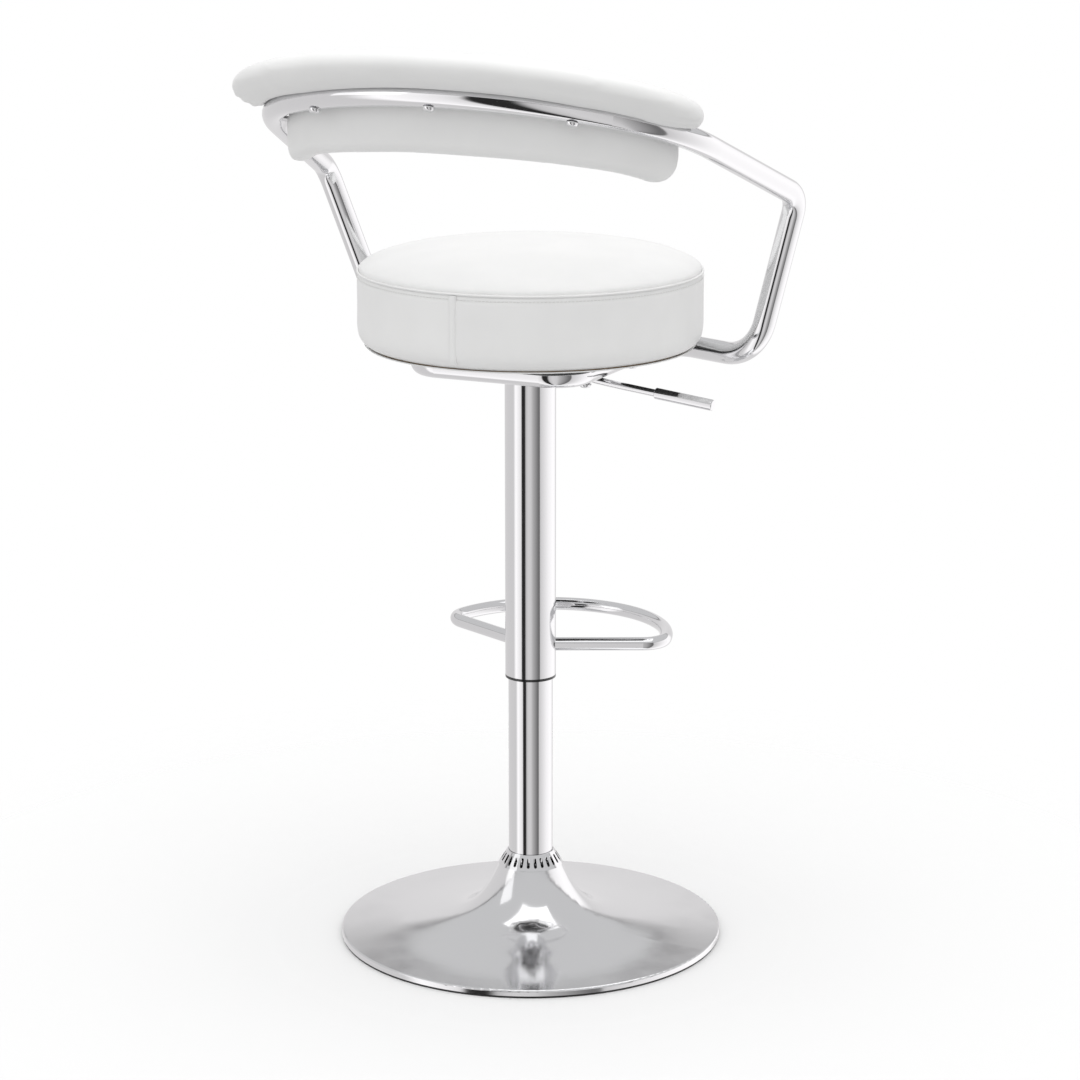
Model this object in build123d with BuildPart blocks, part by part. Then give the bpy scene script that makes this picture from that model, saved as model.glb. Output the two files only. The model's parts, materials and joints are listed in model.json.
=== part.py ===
"""Adjustable swivel bar stool with wrap-round back, gas lift, footrest hoop and trumpet base.

Origin: the column's axis at floor level. +Z is up, +Y is the seat's front, +X its right.
Modelled with the gas lift at the top of its travel.
"""

import os
from math import cos, hypot, radians, sin

from build123d import *

# ---- driving dimensions, millimetres ----
CLEAR = 0.05  # radial running clearance
GAP = 0.5  # standing gap between neighbouring pieces
SKIN = 1.2  # thickness of the vinyl covers

# base
BASE_RADIUS = 216.5
LINER_THICK = 2.5
RIM_TOP = 9
SHEET = 1.2  # wall of the pressed base cover
NECK_RADIUS = 35.5
NECK_TOP = 82
COLLAR_TOP = 98
COLLAR_SLOTS = 26
BALLAST_RADIUS = 200
BALLAST_THICK = 4

# column
TUBE_RADIUS = 25
TUBE_WALL = 2
TUBE_TOP = 430
SLEEVE_RADIUS = 28.5
SLEEVE_WALL = 1.5
SLEEVE_BOTTOM = 306
SLEEVE_TOP = 650
FOOT_BOTTOM = 40
FOOT_THICK = 8

# gas lift
ROD_RADIUS = 5
CYLINDER_RADIUS = 14
CYLINDER_WALL = 1.5
CYLINDER_BOTTOM = 262
SOCKET_BOTTOM = 640
CYLINDER_TOP = 652
SOCKET_RADIUS = 24

# footrest
HOOP_RADIUS = 7.5
HOOP_HEIGHT = 340
HOOP_ARM = 146
HOOP_SPREAD = 64.5  # degrees each side of straight ahead
HOOP_FRONT = 184
HOOP_CORNER = 26

# seat
SEAT_RADIUS = 190.5
SEAT_BOTTOM = 682
SEAT_SEAM = 766
SEAT_CROWN = 792
SEAT_EDGE = 18
BOARD_RADIUS = 176
BOARD_BOTTOM = 684
BOARD_THICK = 15
WRAP_RADIUS = 168.5  # the cover is stapled under the board outside this circle
PLATE_SIDE = 150
PLATE_THICK = 3

# bent tube frame
FRAME_RADIUS = 12.5
FRAME_WALL = 1.5
CRADLE_HEIGHT = 669
CRADLE_HALF = 95
CRADLE_REAR = -100
CRADLE_FRONT = 149
CRADLE_SPLIT = 80
KNEE = (229, 94)  # where the under-seat run turns up into the leg
RAIL_REAR = -234.5
RAIL_HEIGHT = 977
RAIL_SLOPE = 0.41  # the rail falls this much for each millimetre forward
RAIL_CORNER = (243.5, -154)
RAIL_CORNER_RADIUS = 140
ELBOW = (287, 62)  # where the rail turns down into the leg
RAIL_SPLIT = -20

# backrest, measured from the rail's centreline
BOLSTER_OUTSIDE = 56
BOLSTER_INSIDE = 28
BOLSTER_LOW = 2
BOLSTER_HIGH = 36
BOLSTER_TAIL = 175
BOLSTER_RIM = 14
BOARD_LOW = 16
BOARD_HIGH = 27
BOARD_MARGIN = 12
PAD_OUTSIDE = -13.2
PAD_INSIDE = -43
PAD_BOARD_OUTSIDE = -17
PAD_BOARD_INSIDE = -24
PAD_TAIL = 90
PAD_DROP = 52
PAD_EDGE = 8
PAD_STUD = 262  # distance of the studs from the rear centre, along the rail
STUD_RADIUS = 3.5
STUD_LOW = 5  # the studs' distance below the rail's plane
BACK_BOLT_X = 148

# release lever
LEVER_RADIUS = 4
PIVOT_X = 32
PIVOT_Z = 657
PIVOT_RADIUS = 2.5
HUB_RADIUS = 7
GRIP_RADIUS = 6.2
GRIP_LENGTH = 68
LEVER_TIP = (218, 632)

# fasteners
BOLT_RADIUS = 3
BOLT_HEAD = 6.5
HEAD_THICK = 4
INSERT_RADIUS = 5
FRAME_BOLTS = [(x, y) for x in (-CRADLE_HALF, CRADLE_HALF) for y in (-62, 62)]
PLATE_BOLTS = [(x, y) for x in (-58, 58) for y in (-58, 58)]


def save(piece, name):
    """Label a finished piece and write its STEP file."""
    piece.part.label = name
    export_step(piece.part, f"parts/{name}.step")


def ring(outer, inner, low, high):
    """A plain round sleeve standing on the column's axis."""
    with BuildPart() as piece:
        with BuildSketch(Plane.XY.offset(low)):
            Circle(outer)
            if inner:
                Circle(inner, mode=Mode.SUBTRACT)
        extrude(amount=high - low)
    return piece


def tube_along(path, radius, wall):
    """A hollow tube swept along a path."""
    with BuildPart() as piece:
        with BuildSketch(Plane(origin=path @ 0, z_dir=path % 0)):
            Circle(radius)
            if wall:
                Circle(radius - wall, mode=Mode.SUBTRACT)
        sweep(path=path)
    return piece


# ---- the plane that the back rail and the bolster lie in ----
RAIL_TILT = hypot(1, RAIL_SLOPE)
RAIL_PLANE = Plane(
    origin=(0, RAIL_REAR, RAIL_HEIGHT), x_dir=(1, 0, 0), z_dir=(0, RAIL_SLOPE, 1)
)

PAD_FOOT = RAIL_PLANE.offset(-PAD_DROP)
PAD_SKETCH = Plane(origin=(0, RAIL_REAR, RAIL_HEIGHT - 3 * PAD_DROP))


def on_rail(x, y):
    """A point of the rail's plane above plan position x, y."""
    return (x, y, RAIL_HEIGHT - RAIL_SLOPE * (y - RAIL_REAR))


def rail_x(y):
    """Half the rail's width where its straight arm passes y."""
    share = (y - RAIL_CORNER[1]) / (ELBOW[1] - RAIL_CORNER[1])
    return RAIL_CORNER[0] + share * (ELBOW[0] - RAIL_CORNER[0])


def inside_rail(plane, stretch):
    """The area that the rail's centreline encloses, as far forward as the rail goes."""
    deep = (RAIL_CORNER[1] - RAIL_REAR) * stretch
    end = (rail_x(RAIL_SPLIT), (RAIL_SPLIT - RAIL_REAR) * stretch)
    with BuildSketch(plane) as area:
        with BuildLine():
            rear = ThreePointArc((-RAIL_CORNER[0], deep), (0, 0), (RAIL_CORNER[0], deep))
            Polyline(rear @ 1, end, (-end[0], end[1]), rear @ 0)
        make_face()
        fillet(area.vertices().group_by(Axis.Y)[0], RAIL_CORNER_RADIUS)
    return area


def rail_strip(plane, stretch, outside, inside, tail):
    """A round-ended strip between two distances from the rail's centreline.

    The middle of each round end is tail short of where the rail meets the arm tube.
    """
    area = inside_rail(plane, stretch)
    with BuildSketch(plane) as grown:
        add(area.sketch_local)
        offset(amount=(outside + inside) / 2)
    middle = Wire(grown.sketch_local.edges().sort_by(Axis.Y)[:-1])
    share = tail / middle.length
    with BuildSketch(plane) as strip:
        SlotArc(middle.trim(share, 1 - share), outside - inside)
    return strip


# ---- base ----
def trumpet_profile(inset):
    """Half section of the base cover, moved inwards by inset, closed along the axis."""
    knots = (
        (NECK_RADIUS, NECK_TOP, 67), (50, 53.5, 50), (76, 27.5, 29), (125, 14.5, 6),
        (BASE_RADIUS - 2, RIM_TOP, 0),
    )
    moved = [
        (r - inset * sin(radians(lean)), z - inset * cos(radians(lean))) for r, z, lean in knots
    ]
    with BuildSketch(Plane.XZ) as profile:
        with BuildLine():
            flare = Spline(*moved, tangents=((1, -2.4), (1, -0.02)))
            edge = BASE_RADIUS - inset
            rim = Line((edge, RIM_TOP - 2), (edge, LINER_THICK))
            RadiusArc(flare @ 1, rim @ 0, 2 - inset)
            Polyline(rim @ 1, (0, LINER_THICK), (0, moved[0][1]), flare @ 0)
        make_face()
    return profile


def make_base_shell():
    """Pressed cover, a trumpet that flattens out to a thin rim."""
    with BuildPart() as base_shell:
        add(trumpet_profile(0).sketch)
        revolve(axis=Axis.Z)
        add(trumpet_profile(SHEET).sketch)
        revolve(axis=Axis.Z, mode=Mode.SUBTRACT)
        with BuildSketch(Plane.XY.offset(NECK_TOP / 2)):
            Circle(NECK_RADIUS - SHEET)
        extrude(amount=NECK_TOP, mode=Mode.SUBTRACT)
    return base_shell


def make_base_collar():
    """Slotted cone that closes the gap between the cover and the column."""
    top_radius = TUBE_RADIUS + GAP + SHEET
    foot_radius = NECK_RADIUS + SHEET
    with BuildPart() as slot:
        with BuildSketch(Plane.YZ):
            with Locations((0, (NECK_TOP + COLLAR_TOP) / 2)):
                SlotOverall(10, 3.4, rotation=90)
        extrude(amount=2 * NECK_RADIUS, both=True)
    with BuildPart() as base_collar:
        with BuildSketch(Plane.XZ):
            with BuildLine():
                Polyline(
                    (top_radius - SHEET, COLLAR_TOP), (top_radius, COLLAR_TOP),
                    (foot_radius, NECK_TOP), (foot_radius - SHEET, NECK_TOP), close=True,
                )
            make_face()
        revolve(axis=Axis.Z)
        with PolarLocations(0, COLLAR_SLOTS // 2, angular_range=180):
            add(slot.part, mode=Mode.SUBTRACT)
    return base_collar


def make_guide_bush():
    """Nylon bush that guides the gas cylinder at the top of the column tube."""
    bore = CYLINDER_RADIUS + CLEAR
    with BuildPart() as guide_bush:
        with BuildSketch(Plane.XY.offset(TUBE_TOP - 60)):
            Circle(TUBE_RADIUS - TUBE_WALL)
            Circle(bore, mode=Mode.SUBTRACT)
        extrude(amount=60)
        with BuildSketch(Plane.XY.offset(TUBE_TOP)):
            Circle(TUBE_RADIUS)
            Circle(bore, mode=Mode.SUBTRACT)
        extrude(amount=3)
    return guide_bush


# ---- gas lift ----
def make_piston_rod():
    """Rod with the collar that rests on the thrust washer."""
    with BuildPart() as piston_rod:
        with BuildSketch(Plane.XY.offset(FOOT_BOTTOM - 8)):
            Circle(ROD_RADIUS)
        extrude(amount=CYLINDER_BOTTOM + 18 - FOOT_BOTTOM + 8)
        with BuildSketch(Plane.XY.offset(FOOT_BOTTOM + FOOT_THICK + 2.3)):
            Circle(11)
        extrude(amount=4)
    return piston_rod


def make_gas_cylinder():
    """Pressure tube with a closed, tapered top bored for the release pin."""
    inner = CYLINDER_RADIUS - CYLINDER_WALL
    with BuildPart() as gas_cylinder:
        with BuildSketch(Plane.XZ):
            with BuildLine():
                Polyline(
                    (inner, CYLINDER_BOTTOM), (CYLINDER_RADIUS, CYLINDER_BOTTOM),
                    (CYLINDER_RADIUS, SOCKET_BOTTOM), (CYLINDER_RADIUS - 1, CYLINDER_TOP),
                    (3.1, CYLINDER_TOP), (3.1, CYLINDER_TOP - 8), (inner - 1, CYLINDER_TOP - 8),
                    (inner, SOCKET_BOTTOM - 6), close=True,
                )
            make_face()
        revolve(axis=Axis.Z)
    return gas_cylinder


def make_taper_socket():
    """Boss under the seat plate that grips the cylinder's taper, slotted for the lever."""
    with BuildPart() as taper_socket:
        with BuildSketch(Plane.XY.offset(SOCKET_BOTTOM)):
            Circle(SOCKET_RADIUS)
        extrude(amount=BOARD_BOTTOM - PLATE_THICK - SOCKET_BOTTOM)
        with BuildSketch(Plane.XZ):
            with BuildLine():
                Polyline(
                    (0, SOCKET_BOTTOM), (CYLINDER_RADIUS, SOCKET_BOTTOM),
                    (CYLINDER_RADIUS - 1, CYLINDER_TOP), (0, CYLINDER_TOP), close=True,
                )
            make_face()
        revolve(axis=Axis.Z, mode=Mode.SUBTRACT)
        with Locations((-10, 0, CYLINDER_TOP)):
            Box(
                3 * SOCKET_RADIUS, 15, 2 * SOCKET_RADIUS,
                align=(Align.MIN, Align.CENTER, Align.MIN), mode=Mode.SUBTRACT,
            )
    return taper_socket


def make_sleeve_ring():
    """Black ring in the sleeve's mouth that slides along the column tube."""
    inner = TUBE_RADIUS + GAP
    with BuildPart() as sleeve_ring:
        with BuildSketch(Plane.XY.offset(SLEEVE_BOTTOM - 3)):
            Circle(SLEEVE_RADIUS)
            Circle(inner, mode=Mode.SUBTRACT)
        extrude(amount=3)
        with BuildSketch(Plane.XY.offset(SLEEVE_BOTTOM)):
            Circle(SLEEVE_RADIUS - SLEEVE_WALL)
            Circle(inner, mode=Mode.SUBTRACT)
        extrude(amount=12)
    return sleeve_ring


# ---- footrest ----
def make_footrest_hoop():
    """Fan-shaped loop welded to the sleeve: two arms and a curved front bar."""
    side = radians(HOOP_SPREAD)
    start = (SLEEVE_RADIUS * sin(side) / 2, SLEEVE_RADIUS * cos(side) / 2)
    corner = (HOOP_ARM * sin(side), HOOP_ARM * cos(side))
    with BuildSketch(Plane.XY.offset(HOOP_HEIGHT)) as area:
        with BuildLine():
            front = ThreePointArc((-corner[0], corner[1]), (0, HOOP_FRONT), corner)
            Polyline(front @ 1, start, (-start[0], start[1]), front @ 0)
        make_face()
        fillet(area.vertices().group_by(Axis.Y)[1], HOOP_CORNER)
    path = Wire(area.sketch.edges().sort_by(Axis.Y)[1:])
    with BuildPart() as footrest_hoop:
        add(tube_along(path, HOOP_RADIUS, FRAME_WALL).part)
        add(ring(SLEEVE_RADIUS, 0, HOOP_HEIGHT - 40, HOOP_HEIGHT + 40).part, mode=Mode.SUBTRACT)
    return footrest_hoop


# ---- seat ----
def seat_drum(inset):
    """Crowned drum with a rounded lower edge, moved inwards by inset."""
    radius = SEAT_RADIUS - inset
    bottom = SEAT_BOTTOM + inset
    crown_top = SEAT_CROWN - inset
    with BuildPart() as drum:
        with BuildSketch(Plane.XZ):
            with BuildLine():
                crown = Spline(
                    (radius, SEAT_SEAM), (radius * 0.8, crown_top - 10), (0, crown_top),
                    tangents=((-0.2, 1), (-1, 0)),
                )
                side = Line((radius, SEAT_BOTTOM + SEAT_EDGE), crown @ 0)
                low = (SEAT_RADIUS - SEAT_EDGE, bottom)
                RadiusArc(low, side @ 0, inset - SEAT_EDGE)
                Polyline(low, (0, bottom), crown @ 1)
            make_face()
        revolve(axis=Axis.Z)
    return drum


def make_seat_foam():
    """Foam drum that stands on the board and wraps its rim."""
    with BuildPart() as seat_foam:
        add(seat_drum(SKIN).part)
        split(bisect_by=Plane.XY.offset(BOARD_BOTTOM), keep=Keep.TOP)
        with BuildSketch(Plane.XY.offset(BOARD_BOTTOM)):
            Circle(BOARD_RADIUS)
        extrude(amount=BOARD_THICK, mode=Mode.SUBTRACT)
    return seat_foam


def make_seat_cover(seat_foam):
    """Vinyl cover over the foam, turned in under the board's rim."""
    with BuildPart() as seat_cover:
        add(seat_drum(0).part)
        add(seat_foam.part, mode=Mode.SUBTRACT)
        with BuildSketch(Plane.XY.offset(BOARD_BOTTOM)):
            Circle(BOARD_RADIUS)
        extrude(amount=BOARD_THICK, mode=Mode.SUBTRACT)
        with BuildSketch(Plane.XY.offset(SEAT_BOTTOM - SKIN)):
            Circle(WRAP_RADIUS)
        extrude(amount=BOARD_BOTTOM - SEAT_BOTTOM + SKIN, mode=Mode.SUBTRACT)
    return seat_cover


def make_seat_board():
    """Round plywood board with pockets for its threaded inserts."""
    with BuildPart() as seat_board:
        with BuildSketch(Plane.XY.offset(BOARD_BOTTOM)):
            Circle(BOARD_RADIUS)
            with Locations(*FRAME_BOLTS, *PLATE_BOLTS):
                Circle(5, mode=Mode.SUBTRACT)
        extrude(amount=BOARD_THICK)
    return seat_board


def make_dust_cover():
    """Black lining under the seat, open round the seat plate."""
    with BuildPart() as dust_cover:
        with BuildSketch(Plane.XY.offset(SEAT_BOTTOM)):
            Circle(WRAP_RADIUS - GAP)
            Rectangle(PLATE_SIDE + 2, PLATE_SIDE + 2, mode=Mode.SUBTRACT)
            with Locations(*FRAME_BOLTS):
                Circle(3.5, mode=Mode.SUBTRACT)
        extrude(amount=BOARD_BOTTOM - SEAT_BOTTOM)
    return dust_cover


def make_seat_plate():
    """Steel plate between the seat board and the taper socket."""
    with BuildPart() as seat_plate:
        with BuildSketch(Plane.XY.offset(BOARD_BOTTOM - PLATE_THICK)):
            RectangleRounded(PLATE_SIDE, PLATE_SIDE, 12)
            with Locations(*PLATE_BOLTS):
                Circle(3.3, mode=Mode.SUBTRACT)
        extrude(amount=PLATE_THICK)
    return seat_plate


def make_bolts(places, under, top, plane=Plane.XY):
    """Dome-headed bolts, heads down, as separate solids."""
    with BuildPart() as bolts:
        with BuildSketch(plane.offset(under)):
            with Locations(*places):
                Circle(BOLT_RADIUS)
        extrude(amount=top - under)
        with BuildSketch(plane.offset(under - HEAD_THICK)):
            with Locations(*places):
                Circle(BOLT_HEAD)
        extrude(amount=HEAD_THICK)
        lowest = bolts.faces().filter_by(
            lambda face: plane.to_local_coords(face.center()).Z < under - HEAD_THICK + 0.1
        )
        fillet(lowest.edges(), 3)
    return bolts


def make_inserts(places, low, high, plane=Plane.XY):
    """Threaded inserts that the bolts screw into."""
    with BuildPart() as inserts:
        with BuildSketch(plane.offset(low)):
            with Locations(*places):
                Circle(INSERT_RADIUS)
                Circle(BOLT_RADIUS, mode=Mode.SUBTRACT)
        extrude(amount=high - low)
    return inserts


# ---- bent tube frame ----
def make_seat_cradle():
    """U-shaped tube under the seat: rear bar and two sides."""
    with BuildLine() as route:
        FilletPolyline(
            (-CRADLE_HALF, CRADLE_SPLIT, CRADLE_HEIGHT), (-CRADLE_HALF, CRADLE_REAR, CRADLE_HEIGHT),
            (CRADLE_HALF, CRADLE_REAR, CRADLE_HEIGHT), (CRADLE_HALF, CRADLE_SPLIT, CRADLE_HEIGHT),
            radius=32,
        )
    with BuildPart() as seat_cradle:
        add(tube_along(route.wire(), FRAME_RADIUS, FRAME_WALL).part)
        with BuildSketch(Plane.XY.offset(CRADLE_HEIGHT - 20)):
            with Locations(*FRAME_BOLTS):
                Circle(3.2)
        extrude(amount=40, mode=Mode.SUBTRACT)
    return seat_cradle


def make_arm_tube(side):
    """One arm: out from under the seat, up the leg and back into the rail."""
    with BuildLine() as route:
        FilletPolyline(
            (side * CRADLE_HALF, CRADLE_SPLIT, CRADLE_HEIGHT),
            (side * CRADLE_HALF, CRADLE_FRONT, CRADLE_HEIGHT),
            (side * KNEE[0], KNEE[1], CRADLE_HEIGHT),
            on_rail(side * ELBOW[0], ELBOW[1]),
            on_rail(side * rail_x(RAIL_SPLIT), RAIL_SPLIT),
            radius=(34, 64, 34),
        )
    return tube_along(route.wire(), FRAME_RADIUS, FRAME_WALL)


def make_back_rail():
    """Curved rail round the sitter's back, bored for the backrest bolts."""
    with BuildPart() as back_rail:
        add(tube_along(rail_path(), FRAME_RADIUS, FRAME_WALL).part)
        with BuildSketch(RAIL_PLANE.offset(-20)):
            with Locations(*back_bolts()):
                Circle(3.2)
        extrude(amount=40, mode=Mode.SUBTRACT)
    return back_rail


def rail_path():
    """Centreline of the back rail."""
    area = inside_rail(RAIL_PLANE, RAIL_TILT)
    return Wire(area.sketch.edges().sort_by(Axis.Y)[:-1])


def back_bolts():
    """Places of the backrest bolts, in the rail's plane: rear centre and one each side."""
    area = inside_rail(RAIL_PLANE, RAIL_TILT)
    rear = area.sketch_local.edges().sort_by(Axis.Y)[0]
    depth = rear.radius - (rear.radius**2 - BACK_BOLT_X**2) ** 0.5
    return [(-BACK_BOLT_X, depth), (0, 0), (BACK_BOLT_X, depth)]


# ---- backrest ----
def make_pad_studs():
    """Two studs welded to the rail that hold the pad board's ends."""
    path = rail_path()
    with BuildPart() as pad_studs:
        for side in (-1, 1):
            share = 0.5 + side * PAD_STUD / path.length
            across = RAIL_PLANE.z_dir.cross(path % share)
            inward = across if across.dot(RAIL_PLANE.y_dir) > 0 else -across
            foot = path @ share - RAIL_PLANE.z_dir * STUD_LOW
            with BuildSketch(Plane(origin=foot, z_dir=inward)):
                Circle(STUD_RADIUS)
            extrude(amount=-(PAD_BOARD_OUTSIDE + PAD_BOARD_INSIDE) / 2)
        add(tube_along(path, FRAME_RADIUS, 0).part, mode=Mode.SUBTRACT)
    return pad_studs


def make_bolster_board():
    """Curved board inside the bolster, lying over the rail."""
    plane = RAIL_PLANE.offset(BOARD_LOW)
    strip = rail_strip(
        plane, RAIL_TILT, BOLSTER_OUTSIDE - BOARD_MARGIN, PAD_BOARD_INSIDE,
        BOLSTER_TAIL + 2 * BOARD_MARGIN,
    )
    with BuildPart() as bolster_board:
        with BuildSketch(plane):
            add(strip.sketch_local)
            with Locations(*back_bolts()):
                Circle(INSERT_RADIUS, mode=Mode.SUBTRACT)
        extrude(amount=BOARD_HIGH - BOARD_LOW)
    return bolster_board


def make_pad_board():
    """Curved upright board inside the back pad; its top edge meets the bolster board."""
    strip = rail_strip(
        PAD_SKETCH, 1, PAD_BOARD_OUTSIDE, PAD_BOARD_INSIDE, PAD_TAIL + BOARD_MARGIN
    )
    with BuildPart() as pad_board:
        add(strip.sketch)
        extrude(amount=4 * PAD_DROP)
        split(bisect_by=RAIL_PLANE.offset(BOARD_LOW), keep=Keep.BOTTOM)
        split(bisect_by=PAD_FOOT.offset(2 * BOARD_MARGIN), keep=Keep.TOP)
    return pad_board


def bolster_form(inset):
    """Rounded bolster over the rail, grooved where it rests on the tube, moved in by inset."""
    plane = RAIL_PLANE.offset(BOLSTER_LOW + inset)
    strip = rail_strip(
        plane, RAIL_TILT, BOLSTER_OUTSIDE - inset, inset - BOLSTER_INSIDE, BOLSTER_TAIL
    )
    with BuildPart() as form:
        add(strip.sketch)
        extrude(amount=BOLSTER_HIGH - BOLSTER_LOW - 2 * inset)
        flats = form.faces().filter_by(Axis((0, 0, 0), plane.z_dir))
        fillet(flats.edges(), BOLSTER_RIM - inset)
        groove = tube_along(rail_path(), FRAME_RADIUS + GAP + inset, 0)
        add(groove.part, mode=Mode.SUBTRACT)
    return form


def pad_form(inset):
    """Upright curved pad inside the rail, below the bolster, moved in by inset."""
    strip = rail_strip(PAD_SKETCH, 1, PAD_OUTSIDE - inset, PAD_INSIDE + inset, PAD_TAIL)
    with BuildPart() as form:
        add(strip.sketch)
        extrude(amount=4 * PAD_DROP)
        split(bisect_by=RAIL_PLANE.offset(BOLSTER_LOW - GAP - inset), keep=Keep.BOTTOM)
        split(bisect_by=PAD_FOOT.offset(inset), keep=Keep.TOP)
        foot = form.faces().filter_by(
            lambda face: abs(PAD_FOOT.to_local_coords(face.center()).Z) < inset + GAP
        )
        fillet(foot.edges(), PAD_EDGE - inset)
    return form


def without(solid, buried):
    """A solid with pockets for the pieces buried in it."""
    with BuildPart() as rest:
        add(solid.part)
        for piece in buried:
            add(piece.part, mode=Mode.SUBTRACT)
    return rest


# ---- release lever ----
def make_lever_bracket():
    """Two ears under the seat plate that hold the lever's pivot pin."""
    ear = 3
    low = PIVOT_Z - HUB_RADIUS
    high = BOARD_BOTTOM - PLATE_THICK
    with BuildPart() as lever_bracket:
        with BuildSketch(Plane.XZ):
            with Locations((PIVOT_X, (low + high) / 2)):
                RectangleRounded(14, high - low, 3)
        extrude(amount=HUB_RADIUS + ear, both=True)
        with Locations((PIVOT_X, 0, (low + high) / 2)):
            Box(20, 2 * HUB_RADIUS, high - low + 1, mode=Mode.SUBTRACT)
        with BuildSketch(Plane.XZ):
            with Locations((PIVOT_X, PIVOT_Z)):
                Circle(PIVOT_RADIUS)
        extrude(amount=20, both=True, mode=Mode.SUBTRACT)
        with Locations((0, 0, 0)):
            add(ring(SOCKET_RADIUS + GAP / 2, 0, low - 1, high).part, mode=Mode.SUBTRACT)
    return lever_bracket


def make_pivot_pin():
    """Pin through the bracket's ears and the lever's hub."""
    with BuildPart() as pivot_pin:
        with BuildSketch(Plane.XZ):
            with Locations((PIVOT_X, PIVOT_Z)):
                Circle(PIVOT_RADIUS)
        extrude(amount=HUB_RADIUS + 4, both=True)
    return pivot_pin


def make_lever_rod():
    """Bent rod: presses the release pin at its inner end, pulled up at its outer end."""
    tip_x, tip_z = LEVER_TIP
    slope = Vector(tip_x - 106, 0, tip_z - 646).normalized()
    with BuildLine() as route:
        FilletPolyline(
            (-5, 0, PIVOT_Z + 4.5), (PIVOT_X, 0, PIVOT_Z), (80, 0, 648.5), (106, 0, 645),
            (tip_x - 3 * slope.X, 0, tip_z - 3 * slope.Z),
            radius=(20, 12, 12),
        )
    with BuildPart() as lever_rod:
        with BuildSketch(Plane(origin=route.wire() @ 0, z_dir=route.wire() % 0)):
            Circle(LEVER_RADIUS)
        sweep(path=route.wire())
        with BuildSketch(Plane.XZ):
            with Locations((PIVOT_X, PIVOT_Z)):
                Circle(HUB_RADIUS - 1)
        extrude(amount=HUB_RADIUS - GAP, both=True)
        with BuildSketch(Plane.XZ):
            with Locations((PIVOT_X, PIVOT_Z)):
                Circle(PIVOT_RADIUS + CLEAR)
        extrude(amount=2 * HUB_RADIUS, both=True, mode=Mode.SUBTRACT)
    return lever_rod


def make_lever_grip(lever_rod):
    """Plated grip pushed over the rod's outer end."""
    tip_x, tip_z = LEVER_TIP
    along = Vector(tip_x - 106, 0, tip_z - 645).normalized()
    start = Vector(tip_x, 0, tip_z) - along * GRIP_LENGTH
    with BuildPart() as lever_grip:
        with BuildSketch(Plane(origin=start, z_dir=along)):
            Circle(GRIP_RADIUS)
        extrude(amount=GRIP_LENGTH)
        chamfer(lever_grip.faces().filter_by(GeomType.PLANE).edges(), 0.8)
        add(lever_rod.part, mode=Mode.SUBTRACT)
    return lever_grip


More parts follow.
